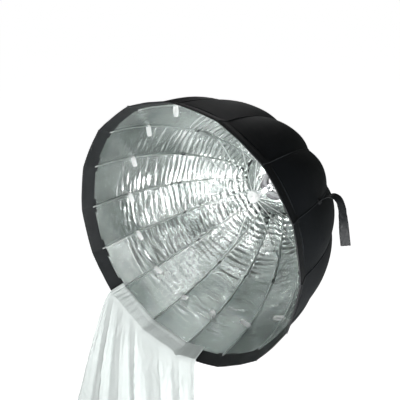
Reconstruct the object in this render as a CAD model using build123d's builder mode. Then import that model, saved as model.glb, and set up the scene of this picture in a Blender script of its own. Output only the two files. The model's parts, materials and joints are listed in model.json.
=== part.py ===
"""Deep umbrella reflector: sixteen sprung ribs, stretchers and a telescopic mast under a cloth bowl.

Row frame, in millimetres: the origin is the centre of the bayonet's seating face, the bowl opens
towards -Y and +Z is up. "Ahead" is the distance along -Y from the seating face. Rib 1 is at the top
and the numbers run towards -X.
"""

from build123d import *
from math import acos, asin, atan2, cos, degrees, hypot, radians, sin, sqrt
import os

# ---- driving sizes -------------------------------------------------------------------------------
rib_count = 16
rim_radius = 434.0  # to the rib centre lines, at the plane of the rib tips
bowl_depth = 616.0  # half axis of the ribs' ellipse, along the reflector's axis
lip_radius = rim_radius + 16.0  # front edge of the black lip, at a rib
lip_length = 49.0  # how far the lip stands ahead of the rib tips
cloth_gap = 4.6  # rib centre line to the cloth's inner face
cloth_thickness = 1.2
gore_gap = 0.4  # between the cloth of neighbouring ribs

pivot_radius = 85.0  # rib hinge pins
cloth_root_radius = pivot_radius + 16.0
pivot_ahead = 18.0
hinge_pin_radius = 1.5
running_clearance = 0.05

channel_width = 3.0
channel_height = 5.0
channel_wall = 0.7
rod_radius = 1.6
tip_cap_radius = 2.6
tip_cap_length = 14.0
ferrule_size = 7.0
ferrule_length = 26.0
fit_gap = 0.2
foot_gap = 0.3  # flat bridge feet stand this far off the ring's round wall

stretcher_radius = 278.0  # stretcher rivets, measured from the axis
ferrule_radius = stretcher_radius + 50.0  # where a rib's channel ends and its rod starts
rivet_radius = 1.0
stretcher_rod_radius = 1.5
fork_ear = 1.0
fork_height = 4.0
fork_crotch = 31.0
fork_length = 37.0
tongue_thickness = 1.6
tongue_height = 4.5
tongue_length = 26.0

runner_lead = 35.4  # the runner's notches stand this far ahead of the rivets when open
notch_radius = 22.0  # stretcher ends in the runner
notch_floor_radius = notch_radius - 10.0
notch_through_radius = notch_radius - 5.0
notch_width = 2.3
notch_pin_radius = 0.8
notch_pin_half_length = 3.1
runner_radius = notch_radius + 3.0
runner_back = 8.4  # runner body behind the notch centres
runner_front = 8.6  # and ahead of them
runner_web = 4.0
folded_tip_radius = notch_radius + 6.0  # rib tips from the axis when folded

mast_rear = 48.0  # rear end of the mast, ahead of the seating face
mast_wall = 0.8
mast_slide_gap = 0.08
mast_base_radius = 9.0
mast_collar_radius = 13.0
mast_collar_length = 10.0
bridge_leg_radius = 2.5
bridge_leg_count = 3
bridge_foot_ahead = 15.0  # feet on the inner wall of the hub ring
bridge_foot_radius = 4.5
bridge_foot_height = 4.0
button_radius = 4.5
button_travel = 4.0
button_proud = 7.0

ring_inner_radius = pivot_radius - 23.0
ring_outer_radius = pivot_radius + 7.0
ring_front = 24.0
slot_inner_radius = pivot_radius - 11.0
slot_floor = 9.0
slot_width = 3.6

plate_radius = pivot_radius - 5.0
plate_thickness = 4.0
light_bore_radius = 46.0
stub_radius = 49.0
stub_length = 12.0
lug_radius = 53.0
lug_height = 3.0
lug_count = 3
lug_arc = 40.0
screw_circle = pivot_radius - 14.0
screw_radius = 2.0
screw_head_radius = 3.6
screw_head_depth = 2.2
screw_length = 10.0
screw_count = 6

skirt_inner_radius = ring_inner_radius + 0.5
skirt_outer_radius = cloth_root_radius + 23.0
skirt_lift = 6.0  # skirt's outer hem ahead of the rib centre line

strap_width = 30.0
strap_thickness = 2.2
strap_rib = 14
strap_back = 170.0  # strap's stitching behind the plane of the rib tips

diffuser_drop = 740.0  # lowest edge below the reflector's lowest rib
diffuser_flare = 230.0  # how much further left the lower edge reaches
diffuser_overhang = 65.0  # to the right of the last rib
diffuser_cloth = 1.0
diffuser_wave = 30.0  # depth of the hanging folds
diffuser_clearance = 6.0  # ahead of the lip
diffuser_folds = 6
diffuser_first_rib = 7
diffuser_last_rib = 9

# ---- places worked out from them -----------------------------------------------------------------
rib_pitch = 360.0 / rib_count
half_pitch = rib_pitch / 2
rim_ahead = pivot_ahead + bowl_depth * sqrt(1 - (pivot_radius / rim_radius) ** 2)
lip_ahead = rim_ahead + lip_length


def ellipse_angle(radius):
    """Angle on the ribs' ellipse, in degrees, of the point that far from the axis."""
    return -degrees(acos(radius / rim_radius))


def ahead_of(radius):
    """Distance ahead of the seating face of the rib centre line, that far from the axis."""
    return rim_ahead + bowl_depth * sin(radians(ellipse_angle(radius)))


rivet_ahead = ahead_of(stretcher_radius)
notch_ahead = rivet_ahead + runner_lead
stretcher_length = hypot(stretcher_radius - notch_radius, runner_lead)

tip_reach = hypot(rim_radius - pivot_radius, rim_ahead - pivot_ahead)
fold_angle = degrees(
    asin((rim_radius - pivot_radius) / tip_reach)
    - asin((folded_tip_radius - pivot_radius) / tip_reach)
)
rivet_reach = hypot(stretcher_radius - pivot_radius, rivet_ahead - pivot_ahead)
rivet_angle = degrees(atan2(rivet_ahead - pivot_ahead, stretcher_radius - pivot_radius)) + fold_angle
folded_rivet_radius = pivot_radius + rivet_reach * cos(radians(rivet_angle))
folded_rivet_ahead = pivot_ahead + rivet_reach * sin(radians(rivet_angle))
folded_lead = sqrt(stretcher_length**2 - (folded_rivet_radius - notch_radius) ** 2)
runner_travel = folded_rivet_ahead + folded_lead - notch_ahead
stretcher_swing = degrees(
    atan2(folded_lead, folded_rivet_radius - notch_radius)
    - atan2(runner_lead, stretcher_radius - notch_radius)
)

mast_front = notch_ahead - runner_back - 6.0
rib_plane = Plane(origin=(0, 0, 0), x_dir=(0, 0, 1), z_dir=(1, 0, 0))  # (from the axis, ahead)
half = radians(half_pitch)


def spoke_plane(number):
    """The plane through the axis and the rib so many pitches from the top: (from the axis, ahead)."""
    turn = radians(number * rib_pitch)
    return Plane(origin=(0, 0, 0), x_dir=(-sin(turn), 0, cos(turn)), z_dir=(cos(turn), 0, sin(turn)))


def write(piece, name, turn=0.0):
    """Writes one node, turned about the reflector's axis by so many rib pitches."""
    placed = piece.rotate(Axis.Y, -turn * rib_pitch)
    placed.label = name
    export_step(placed, f"parts/{name}.step")


def rib_arc(from_angle, to_angle):
    """The ribs' ellipse between two of its angles, on the plane of rib 1."""
    with BuildLine(rib_plane) as line:
        EllipticalCenterArc((0, rim_ahead), rim_radius, bowl_depth, from_angle, arc_size=to_angle - from_angle)
    return line.line


def section_at(path):
    """The plane across the start of a path in the rib's plane, with its +Y on the bowl's outside."""
    return Plane(origin=path @ 0, x_dir=(1, 0, 0), z_dir=path % 0)


def ahead(distance):
    """A plane square to the reflector's axis, facing the mouth."""
    return Plane(origin=(0, -distance, 0), x_dir=(1, 0, 0), z_dir=(0, -1, 0))


# ---- rib: sprung channel, ferrule, rod, cap, hinge pin and rivet ------------------------------------
def rib_channel():
    path = rib_arc(ellipse_angle(pivot_radius + 6), ellipse_angle(ferrule_radius))
    root = (pivot_radius, pivot_ahead)
    tab_end = (pivot_radius + 15, ahead_of(pivot_radius + 15))
    with BuildPart() as channel:
        with BuildSketch(section_at(path)):
            Rectangle(channel_width, channel_height)
        sweep(path=path)
        groove_path = rib_arc(ellipse_angle(pivot_radius + 20), ellipse_angle(ferrule_radius))
        with BuildSketch(section_at(groove_path)):
            with Locations((0, -channel_wall)):
                Rectangle(channel_width - 2 * channel_wall, channel_height)
        sweep(path=groove_path, mode=Mode.SUBTRACT)
        with BuildSketch(rib_plane):
            with BuildLine():
                Line(root, tab_end)
            trace(line_width=channel_height)
            with Locations(root):
                Circle(3 * hinge_pin_radius)
        extrude(amount=channel_width / 2, both=True)
        with BuildSketch(rib_plane):
            with Locations(root):
                Circle(hinge_pin_radius)
            with Locations((stretcher_radius, rivet_ahead)):
                Circle(rivet_radius)
        extrude(amount=channel_width, both=True, mode=Mode.SUBTRACT)
    return channel.part


def ferrule():
    middle = ellipse_angle(ferrule_radius)
    reach = degrees(ferrule_length / 2 / hypot(rim_radius * sin(radians(middle)), bowl_depth * cos(radians(middle))))
    channel_side = rib_arc(middle - reach, middle)
    rod_side = rib_arc(middle, middle + reach)
    with BuildPart() as collar:
        for path in (channel_side, rod_side):
            with BuildSketch(section_at(path)):
                RectangleRounded(ferrule_size, ferrule_size, 1.2)
                if path is channel_side:
                    Rectangle(channel_width + 2 * fit_gap, channel_height + 2 * fit_gap, mode=Mode.SUBTRACT)
                else:
                    Circle(rod_radius + fit_gap, mode=Mode.SUBTRACT)
            sweep(path=path)
    return collar.part


def rib_rod():
    path = rib_arc(ellipse_angle(ferrule_radius) + 0.05, 0)
    with BuildPart() as rod:
        with BuildSketch(section_at(path)):
            Circle(rod_radius)
        sweep(path=path)
    return rod.part


def rib_cap():
    bore_depth = tip_cap_length * 0.4
    with BuildPart() as cap:
        with BuildSketch(rib_plane):
            with BuildLine():
                Polyline(
                    (0, -bore_depth),
                    (tip_cap_radius, -bore_depth),
                    (tip_cap_radius, tip_cap_length - bore_depth - tip_cap_radius),
                )
                RadiusArc(
                    (tip_cap_radius, tip_cap_length - bore_depth - tip_cap_radius),
                    (0, tip_cap_length - bore_depth),
                    -tip_cap_radius,
                )
                Line((0, tip_cap_length - bore_depth), (0, -bore_depth))
            make_face()
        revolve(axis=Axis.Y)
        with BuildSketch(ahead(-bore_depth)):
            Circle(rod_radius + fit_gap)
        extrude(amount=bore_depth + fit_gap, mode=Mode.SUBTRACT)
    return cap.part.translate((0, -rim_ahead, rim_radius))


def cross_pin(radius, half_length, from_axis, distance_ahead):
    """A pin across the rib's plane."""
    with BuildPart() as pin:
        with BuildSketch(rib_plane):
            with Locations((from_axis, distance_ahead)):
                Circle(radius)
        extrude(amount=half_length, both=True)
        chamfer(pin.edges().filter_by(GeomType.CIRCLE), radius / 6)
    return pin.part


rivet_half_length = channel_width / 2
hinge_pin_half_length = slot_width / 2 + 4.0
rib_pieces = Compound(
    [
        rib_channel().solid(),
        ferrule().solid(),
        rib_rod().solid(),
        rib_cap().solid(),
        cross_pin(hinge_pin_radius, hinge_pin_half_length, pivot_radius, pivot_ahead).solid(),
        cross_pin(rivet_radius, rivet_half_length, stretcher_radius, rivet_ahead).solid(),
    ]
)


# ---- stretcher: fork on the rib's rivet, rod, and a flat tongue in the runner -------------------------
def stretcher():
    slope = degrees(atan2(-runner_lead, stretcher_radius - notch_radius))
    along = Plane(
        origin=rib_plane.from_local_coords((notch_radius, notch_ahead, 0)),
        x_dir=rib_plane.from_local_coords((cos(radians(slope)), sin(radians(slope)), 0)),
        z_dir=(1, 0, 0),
    )
    fork_start = stretcher_length - fork_length
    fork_half_width = channel_width / 2 + fit_gap + fork_ear
    with BuildPart() as arm:
        with BuildSketch(along):
            with Locations((tongue_length / 2, 0)):
                SlotCenterToCenter(tongue_length, tongue_height)
        extrude(amount=tongue_thickness / 2, both=True)
        across = Plane(origin=along.from_local_coords((tongue_length - 4, 0, 0)), x_dir=(1, 0, 0), z_dir=along.x_dir)
        with BuildSketch(across):
            Circle(stretcher_rod_radius)
        extrude(amount=fork_start - tongue_length + 6)
        with BuildSketch(along):
            with Locations((fork_start, 0)):
                Rectangle(fork_length, fork_height, align=(Align.MIN, Align.CENTER))
            with Locations((stretcher_length, 0)):
                Circle(fork_height / 2)
        extrude(amount=fork_half_width, both=True)
        with BuildSketch(along):
            with Locations((stretcher_length - fork_crotch, 0)):
                Rectangle(2 * fork_length, 3 * fork_height, align=(Align.MIN, Align.CENTER))
        extrude(amount=channel_width / 2 + fit_gap, both=True, mode=Mode.SUBTRACT)
        with BuildSketch(along):
            with Locations((stretcher_length, 0)):
                Circle(rivet_radius + running_clearance)
        extrude(amount=2 * fork_half_width, both=True, mode=Mode.SUBTRACT)
        with BuildSketch(along):
            Circle(notch_pin_radius)
        extrude(amount=tongue_thickness, both=True, mode=Mode.SUBTRACT)
    notch_pin = cross_pin(notch_pin_radius, notch_pin_half_length, notch_radius, notch_ahead)
    return Compound([arm.part.solid(), notch_pin.solid()])


# ---- cloth of one rib: half of each neighbouring panel, with the lip ------------------------------------
def gore():
    flat = cos(half)

    def outline(offset):
        """Half axes of the panel's middle line, the lip's front corner and the root angle."""
        across = (rim_radius + offset) * flat
        front = ((lip_radius + offset - cloth_gap) * flat, lip_ahead)
        root = -degrees(acos(cloth_root_radius * flat / across))
        return across, bowl_depth + offset, front, root

    inner_across, inner_deep, inner_front, inner_root = outline(cloth_gap)
    outer_across, outer_deep, outer_front, outer_root = outline(cloth_gap + cloth_thickness)
    side = (lip_radius + cloth_gap) * sin(half) + 5
    with BuildPart() as cloth:
        with BuildSketch(spoke_plane(0.5).offset(gore_gap / 2)):
            with BuildLine():
                inner = EllipticalCenterArc((0, rim_ahead), inner_across, inner_deep, inner_root, arc_size=-inner_root)
                outer = EllipticalCenterArc((0, rim_ahead), outer_across, outer_deep, outer_root, arc_size=-outer_root)
                Polyline(inner @ 1, inner_front, outer_front, outer @ 1)
                Line(inner @ 0, outer @ 0)
            make_face()
        extrude(amount=side)
        split(bisect_by=Plane.YZ, keep=Keep.BOTTOM)
        mirror(about=Plane.YZ)
    return cloth.part


# ---- hub: notched ring, bayonet plate and its screws ---------------------------------------------------
def hub_ring():
    with BuildPart() as ring:
        with BuildSketch(ahead(plate_thickness)):
            Circle(ring_outer_radius)
            Circle(ring_inner_radius, mode=Mode.SUBTRACT)
        extrude(amount=ring_front - plate_thickness)
        chamfer(ring.faces().sort_by(Axis.Y)[0].edges(), 1.0)
        with BuildSketch(ahead(slot_floor)):
            with PolarLocations(0, rib_count):
                with Locations((slot_inner_radius, 0)):
                    Rectangle(ring_outer_radius, slot_width, align=(Align.MIN, Align.CENTER))
        extrude(amount=ring_front, mode=Mode.SUBTRACT)
        for number in range(rib_count):
            with BuildSketch(spoke_plane(number)):
                with Locations((pivot_radius, pivot_ahead)):
                    Circle(hinge_pin_radius + running_clearance)
            extrude(amount=hinge_pin_half_length + fit_gap, both=True, mode=Mode.SUBTRACT)
        with BuildSketch(ahead(plate_thickness)):
            with PolarLocations(screw_circle, screw_count, start_angle=rib_pitch / 2):
                Circle(screw_radius)
        extrude(amount=screw_length, mode=Mode.SUBTRACT)
    return ring.part


def bayonet_plate():
    with BuildPart() as plate:
        with BuildSketch(ahead(0)):
            Circle(plate_radius)
            Circle(light_bore_radius, mode=Mode.SUBTRACT)
        extrude(amount=plate_thickness)
        with BuildSketch(ahead(-stub_length)):
            Circle(stub_radius)
            Circle(light_bore_radius, mode=Mode.SUBTRACT)
        extrude(amount=stub_length)
        with BuildSketch(ahead(-stub_length)):
            with BuildLine():
                lug = CenterArc((0, 0), lug_radius, -lug_arc / 2, lug_arc)
                root = CenterArc((0, 0), stub_radius - 1, -lug_arc / 2, lug_arc)
                Line(lug @ 0, root @ 0)
                Line(lug @ 1, root @ 1)
            lug_face = make_face(mode=Mode.PRIVATE)
            with PolarLocations(0, lug_count, start_angle=90):
                add(lug_face)
        extrude(amount=lug_height)
        with BuildSketch(ahead(0)):
            with PolarLocations(screw_circle, screw_count, start_angle=rib_pitch / 2):
                Circle(screw_radius)
        extrude(amount=plate_thickness, mode=Mode.SUBTRACT)
        with BuildSketch(ahead(0)):
            with PolarLocations(screw_circle, screw_count, start_angle=rib_pitch / 2):
                Circle(screw_head_radius)
        extrude(amount=screw_head_depth, mode=Mode.SUBTRACT)
    return plate.part


def plate_screws():
    with BuildPart() as screws:
        with BuildSketch(ahead(0)):
            with PolarLocations(screw_circle, screw_count, start_angle=rib_pitch / 2):
                Circle(screw_head_radius)
        extrude(amount=screw_head_depth)
        with BuildSketch(ahead(screw_head_depth)):
            with PolarLocations(screw_circle, screw_count, start_angle=rib_pitch / 2):
                Circle(screw_radius)
        extrude(amount=screw_length - screw_head_depth)
        with BuildSketch(ahead(0)):
            with PolarLocations(screw_circle, screw_count, start_angle=rib_pitch / 2):
                RegularPolygon(screw_radius * 0.8, 6)
        extrude(amount=screw_head_depth / 2, mode=Mode.SUBTRACT)
    return screws.part


# ---- mast: bridge with the fixed tube, two sliding tubes and the rod ------------------------------------
def tube(outer, inner, rear, front):
    with BuildPart() as pipe:
        with BuildSketch(ahead(rear)):
            Circle(outer)
            Circle(inner, mode=Mode.SUBTRACT)
        extrude(amount=front - rear)
    return pipe.part


def mast_radius(stage):
    """Outer radius of the fixed tube (stage 0) and of each tube inside it."""
    return mast_base_radius - stage * (mast_wall + mast_slide_gap)


def mast_bridge():
    with BuildPart() as bridge:
        with BuildSketch(ahead(mast_rear)):
            Circle(mast_collar_radius)
        extrude(amount=mast_collar_length)
        chamfer(bridge.edges().filter_by(GeomType.CIRCLE), 1.2)
        with BuildSketch(ahead(mast_rear)):
            Circle(mast_base_radius)
        extrude(amount=mast_front - mast_rear)
        for number in range(bridge_leg_count):
            turn = radians(90 + number * 360 / bridge_leg_count)
            outwards = Vector(cos(turn), 0, sin(turn))
            foot = outwards * (ring_inner_radius - bridge_foot_height / 2) + Vector(0, -bridge_foot_ahead, 0)
            top = Vector(0, -mast_rear - mast_collar_length / 2, 0)
            leg = Plane(origin=foot, z_dir=top - foot)
            with BuildSketch(leg):
                Circle(bridge_leg_radius)
            extrude(amount=(top - foot).length)
            wall = outwards * (ring_inner_radius - foot_gap) + Vector(0, -bridge_foot_ahead, 0)
            with BuildSketch(Plane(origin=wall, z_dir=outwards * -1)):
                Circle(bridge_foot_radius)
            extrude(amount=bridge_foot_height)
        with BuildSketch(ahead(mast_rear)):
            Circle(mast_base_radius - mast_wall)
        extrude(amount=mast_front, mode=Mode.SUBTRACT)
    return bridge.part


def runner():
    back = notch_ahead - runner_back
    front = notch_ahead + runner_front
    with BuildPart() as disc:
        with BuildSketch(ahead(back)):
            Circle(runner_radius)
        extrude(amount=front - back)
        fillet(disc.edges().filter_by(GeomType.CIRCLE), 1.5)
        with BuildSketch(ahead(back + runner_web)):
            with PolarLocations(0, rib_count):
                with Locations((notch_floor_radius, 0)):
                    Rectangle(runner_radius, notch_width, align=(Align.MIN, Align.CENTER))
        extrude(amount=front, mode=Mode.SUBTRACT)
        with BuildSketch(ahead(back - 1)):
            with PolarLocations(0, rib_count):
                with Locations((notch_through_radius, 0)):
                    Rectangle(runner_radius, notch_width, align=(Align.MIN, Align.CENTER))
        extrude(amount=front, mode=Mode.SUBTRACT)
        with BuildSketch(ahead(back - 1)):
            Circle(mast_radius(3))
        extrude(amount=runner_web + 1, mode=Mode.SUBTRACT)
        with BuildSketch(ahead(back + runner_web)):
            Circle(button_radius + running_clearance)
        extrude(amount=front, mode=Mode.SUBTRACT)
        for number in range(rib_count):
            with BuildSketch(spoke_plane(number)):
                with Locations((notch_radius, notch_ahead)):
                    Circle(notch_pin_radius + running_clearance)
            extrude(amount=notch_pin_half_length + fit_gap, both=True, mode=Mode.SUBTRACT)
    return disc.part


def release_button():
    rear = notch_ahead - runner_back + runner_web + button_travel + 0.5
    with BuildPart() as button:
        with BuildSketch(ahead(rear)):
            Circle(button_radius)
        extrude(amount=notch_ahead + runner_front + button_proud - rear)
        fillet(button.faces().sort_by(Axis.Y)[0].edges(), 1.5)
    return button.part


# ---- soft parts in their plain form -----------------------------------------------------------------------
def light_skirt():
    front = ahead_of(skirt_outer_radius) + skirt_lift
    with BuildPart() as skirt:
        with BuildSketch(rib_plane):
            with BuildLine():
                Polyline(
                    (skirt_inner_radius, ring_front + 2),
                    (skirt_outer_radius, front),
                    (skirt_outer_radius, front + cloth_thickness),
                    (skirt_inner_radius, ring_front + 2 + cloth_thickness),
                    close=True,
                )
            make_face()
        revolve(axis=Axis.Y)
    return skirt.part


def closure_strap():
    turn = radians((strap_rib - 1) * rib_pitch)
    seam_ahead = rim_ahead - strap_back
    seam_radius = rim_radius * sqrt(1 - (strap_back / bowl_depth) ** 2) + cloth_gap + cloth_thickness + 3.5
    seam = Vector(-sin(turn) * seam_radius, -seam_ahead, cos(turn) * seam_radius)
    upright = Plane(origin=seam, x_dir=(1, 0, 0), z_dir=(0, -1, 0))
    with BuildPart() as strap:
        with BuildSketch(upright.offset(-strap_width / 2)):
            with BuildLine():
                Spline((0, 0), (36, 33), (66, -11), (76, -81), (81, -136))
            trace(line_width=strap_thickness)
        extrude(amount=strap_width)
    return strap.part


def front_diffuser():
    """The peeled front cloth: a folded curtain hanging from the lip, cut away where the mouth is."""

    def corner(number):
        spoke = radians((number - 1) * rib_pitch)
        return -lip_radius * sin(spoke), lip_radius * cos(spoke)

    left, top = corner(diffuser_first_rib)
    right = corner(diffuser_last_rib)[0] + diffuser_overhang
    low = -rim_radius - diffuser_drop
    middle = -lip_ahead - diffuser_clearance - diffuser_wave
    steps = 2 * diffuser_folds
    with BuildPart() as curtain:
        for height, far_left in ((low, left - diffuser_flare), (top, left)):
            with BuildSketch(Plane.XY.offset(height)):
                with BuildLine():
                    Spline(
                        *[
                            (
                                far_left + (right - far_left) * step / steps,
                                middle + diffuser_wave * (0.9 if step % 2 else -0.9),
                            )
                            for step in range(steps + 1)
                        ]
                    )
                trace(line_width=diffuser_cloth)
        loft()
        with BuildSketch(ahead(lip_ahead)):
            RegularPolygon(lip_radius, rib_count)
        extrude(amount=4 * diffuser_wave, mode=Mode.SUBTRACT)
    return curtain.part


os.makedirs("parts", exist_ok=True)
one_stretcher = stretcher()
one_gore = gore()
for number in range(1, rib_count + 1):
    write(rib_pieces, f"rib_{number:02d}", number - 1)
    write(one_stretcher, f"stretcher_{number:02d}", number - 1)
    write(one_gore, f"cover_gore_{number:02d}", number - 1)

write(hub_ring(), "hub_ring")
write(bayonet_plate(), "bayonet_plate")
write(plate_screws(), "plate_screws")
write(mast_bridge(), "mast_bridge")
write(tube(mast_radius(1), mast_radius(1) - mast_wall, mast_rear + 1, mast_front + 1), "mast_tube_outer")
write(tube(mast_radius(2), mast_radius(2) - mast_wall, mast_rear + 2, mast_front + 2), "mast_tube_inner")
write(
    tube(mast_radius(3), mast_radius(3) - mast_wall, mast_rear + 3, notch_ahead - runner_back + runner_web),
    "mast_rod",
)
write(runner(), "runner")
write(release_button(), "release_button")
write(light_skirt(), "light_skirt")
write(closure_strap(), "closure_strap")
write(front_diffuser(), "front_diffuser")

print("rim ahead", round(rim_ahead, 2), "lip ahead", round(lip_ahead, 2))
print("rivet ahead", round(rivet_ahead, 2), "notch ahead", round(notch_ahead, 2))
print("fold angle", round(fold_angle, 3), "runner travel", round(runner_travel, 3))
print("stretcher swing", round(stretcher_swing, 3), "length", round(stretcher_length, 2))
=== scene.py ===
import bpy
import bmesh
import json
import math
import numpy as np
from mathutils import Matrix, Vector, noise


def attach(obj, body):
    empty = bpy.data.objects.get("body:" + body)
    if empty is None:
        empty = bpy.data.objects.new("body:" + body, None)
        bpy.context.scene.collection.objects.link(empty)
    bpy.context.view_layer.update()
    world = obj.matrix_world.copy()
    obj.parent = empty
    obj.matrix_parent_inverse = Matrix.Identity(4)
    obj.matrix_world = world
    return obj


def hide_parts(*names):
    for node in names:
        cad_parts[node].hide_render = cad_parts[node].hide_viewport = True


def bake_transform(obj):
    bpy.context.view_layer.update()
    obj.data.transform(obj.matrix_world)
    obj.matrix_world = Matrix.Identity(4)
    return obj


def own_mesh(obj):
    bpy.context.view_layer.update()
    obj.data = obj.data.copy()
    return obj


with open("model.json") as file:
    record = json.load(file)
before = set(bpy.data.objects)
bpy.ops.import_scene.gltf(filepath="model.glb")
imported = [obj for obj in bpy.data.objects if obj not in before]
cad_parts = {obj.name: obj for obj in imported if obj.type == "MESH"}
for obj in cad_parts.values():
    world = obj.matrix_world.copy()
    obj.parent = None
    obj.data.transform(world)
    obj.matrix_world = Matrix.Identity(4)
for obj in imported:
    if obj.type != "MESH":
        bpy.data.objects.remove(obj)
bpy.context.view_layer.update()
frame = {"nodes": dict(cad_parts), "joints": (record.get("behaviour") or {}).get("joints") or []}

# the row frame is in metres: -Y is ahead, out of the mouth, and +Z is up
ribs = {"count": 16, "rimRadius": 0.434, "bowlDepth": 0.616, "rimAhead": 0.62207, "clothGap": 0.0046}
ribs["step"] = 2 * math.pi / ribs["count"]
pivot = {"radius": 0.085, "ahead": 0.018}
foldAngle = math.radians([j for j in frame["joints"] if j["name"] == "rib_hinge_01"][0]["range_deg"][1])


def spoke(number):
    # unit vector from the axis to a rib; number may be a fraction between two ribs
    turn = (number - 1) * ribs["step"]
    return np.array([-math.sin(turn), 0.0, math.cos(turn)])


def across(number):
    turn = (number - 1) * ribs["step"]
    return np.array([math.cos(turn), 0.0, math.sin(turn)])


def place(number, radius, ahead):
    return spoke(number) * radius + np.array([0.0, -ahead, 0.0])


def foldedRadius(radius, ahead):
    # where a point on a rib ends up, measured from the axis, with the frame folded
    reach = math.hypot(radius - pivot["radius"], ahead - pivot["ahead"])
    angle = math.atan2(ahead - pivot["ahead"], radius - pivot["radius"]) + foldAngle
    return pivot["radius"] + reach * math.cos(angle)


# ---- camera ----
view = {"place": (0.960, -1.765, 0.731), "ahead": (-0.5688, 0.7321, -0.3748),
        "up": (-0.219, 0.304, 0.927), "lens": 45.1}
cameraData = bpy.data.cameras.new("camera")
cameraData.lens = view["lens"]
cameraData.sensor_width = 36
camera = bpy.data.objects.new("camera", cameraData)
bpy.context.scene.collection.objects.link(camera)
zAxis = -Vector(view["ahead"]).normalized()
xAxis = Vector(view["up"]).cross(zAxis).normalized()
yAxis = zAxis.cross(xAxis)
turned = Matrix((xAxis, yAxis, zAxis)).transposed().to_4x4()
camera.matrix_world = Matrix.Translation(view["place"]) @ turned
bpy.context.scene.camera = camera
print("camera set")


# ---- shader maths ----
class Wire:
    # a socket that adds its own Math nodes
    def __init__(self, paint, socket):
        self.paint = paint
        self.socket = socket

    def sum(self, operation, first, second=0.0):
        return self.paint.add("ShaderNodeMath", {"operation": operation}, {0: first, 1: second})

    def __add__(self, other):
        return self.sum("ADD", self, other)

    def __radd__(self, other):
        return self.sum("ADD", other, self)

    def __sub__(self, other):
        return self.sum("SUBTRACT", self, other)

    def __rsub__(self, other):
        return self.sum("SUBTRACT", other, self)

    def __mul__(self, other):
        return self.sum("MULTIPLY", self, other)

    def __rmul__(self, other):
        return self.sum("MULTIPLY", other, self)

    def __pow__(self, other):
        return self.sum("POWER", self, other)

    def above(self, level):
        return self.sum("GREATER_THAN", self, level)

    def below(self, level):
        return self.sum("LESS_THAN", self, level)

    def sine(self):
        return self.sum("SINE", self)


class Paint:
    def __init__(self, name):
        self.material = bpy.data.materials.new(name)
        self.material.use_nodes = True
        self.tree = self.material.node_tree
        self.tree.nodes.clear()
        self.shader = self.tree.nodes.new("ShaderNodeBsdfPrincipled")
        self.output = self.tree.nodes.new("ShaderNodeOutputMaterial")
        self.tree.links.new(self.shader.outputs[0], self.output.inputs["Surface"])

    def add(self, kind, settings=None, values=None, out=0):
        node = self.tree.nodes.new(kind)
        for key, value in (settings or {}).items():
            setattr(node, key, value)
        for key, value in (values or {}).items():
            self.feed(node.inputs[key], value)
        return Wire(self, node.outputs[out])

    def feed(self, socket, value):
        if isinstance(value, Wire):
            self.tree.links.new(value.socket, socket)
        else:
            socket.default_value = value

    def set(self, **values):
        for key, value in values.items():
            self.feed(self.shader.inputs[key.replace("_", " ")], value)

    def where(self):
        return self.add("ShaderNodeTexCoord", out="Object")

    def cloth(self):
        return self.add("ShaderNodeUVMap", {"uv_map": "cloth"})

    def split(self, vector):
        parts = self.add("ShaderNodeSeparateXYZ", None, {0: vector})
        node = parts.socket.node
        return [Wire(self, socket) for socket in node.outputs]

    def noise(self, vector, scale, detail=3.0, roughness=0.55):
        return self.add("ShaderNodeTexNoise", None,
                        {"Vector": vector, "Scale": scale, "Detail": detail, "Roughness": roughness})

    def stretched(self, vector, scale):
        return self.add("ShaderNodeMapping", None, {"Vector": vector, "Scale": scale})

    def mix(self, factor, first, second):
        return self.add("ShaderNodeMix", {"data_type": "RGBA"}, {0: factor, 6: first, 7: second}, out=2)

    def bump(self, height, distance, strength=1.0, under=None):
        values = {"Height": height, "Distance": distance, "Strength": strength}
        if under is not None:
            values["Normal"] = under
        return self.add("ShaderNodeBump", None, values)


def weave(paint, thread):
    # plain weave: warp and weft as two crossed waves on the cloth's own map, which is in metres
    u, v, rest = paint.split(paint.cloth())
    warp = (u * (math.pi / thread)).sine()
    weft = (v * (math.pi / thread)).sine()
    return warp * weft


def silverCloth():
    paint = Paint("silverCloth")
    where = paint.cloth()
    crumple = paint.noise(paint.stretched(where, (26, 190, 1)), 1.0, 4.0, 0.6)
    crease = paint.noise(paint.stretched(where, (9, 85, 1)), 1.0, 3.0, 0.5)
    fine = paint.noise(where, 900.0, 2.0)
    threads = weave(paint, 0.0011)
    # painted light and shade: a broad low-frequency noise swaps patches of the panels between a painted-shade silver
    # and a painted-lit silver, standing in for the bright and dark reflections of the room
    broad = (paint.noise(paint.stretched(where, (2.6, 4.0, 1)), 1.0, 1.0) - 0.36) * 3.4
    # painted shade between the folds: the crumple noise darkens the silver in streaks, within both the shaded and the
    # lit silver; the same noise also drives the crease bump and the roughness below
    paintedShade = paint.mix(crumple, (0.22, 0.25, 0.24, 1), (0.46, 0.50, 0.485, 1))
    silverWithPaintedLightAndShade = paint.mix(broad, paintedShade, paint.mix(crumple, (0.62, 0.66, 0.645, 1), (0.88, 0.91, 0.90, 1)))
    rough = 0.15 + crumple * 0.12 + fine * 0.06
    first = paint.bump(crease, 0.007, 0.5)
    second = paint.bump(crumple, 0.0020, 0.5, first)
    third = paint.bump(threads + fine * 0.8, 0.00018, 0.5, second)
    paint.set(Base_Color=silverWithPaintedLightAndShade, Metallic=0.93, Roughness=rough, Normal=third)
    return paint.material


def blackCloth(name, dark, light, rough):
    paint = Paint(name)
    where = paint.cloth()
    threads = weave(paint, 0.0012)
    patchy = paint.noise(where, 14.0, 4.0)
    crease = paint.noise(paint.stretched(where, (9, 30, 1)), 1.0, 3.0)
    paint.set(Base_Color=paint.mix(patchy, dark, light), Roughness=rough + patchy * 0.12)
    paint.set(Specular_IOR_Level=0.38)
    soft = paint.bump(crease, 0.003, 0.35)
    paint.set(Normal=paint.bump(threads, 0.00025, 0.6, soft))
    return paint.material


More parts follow.
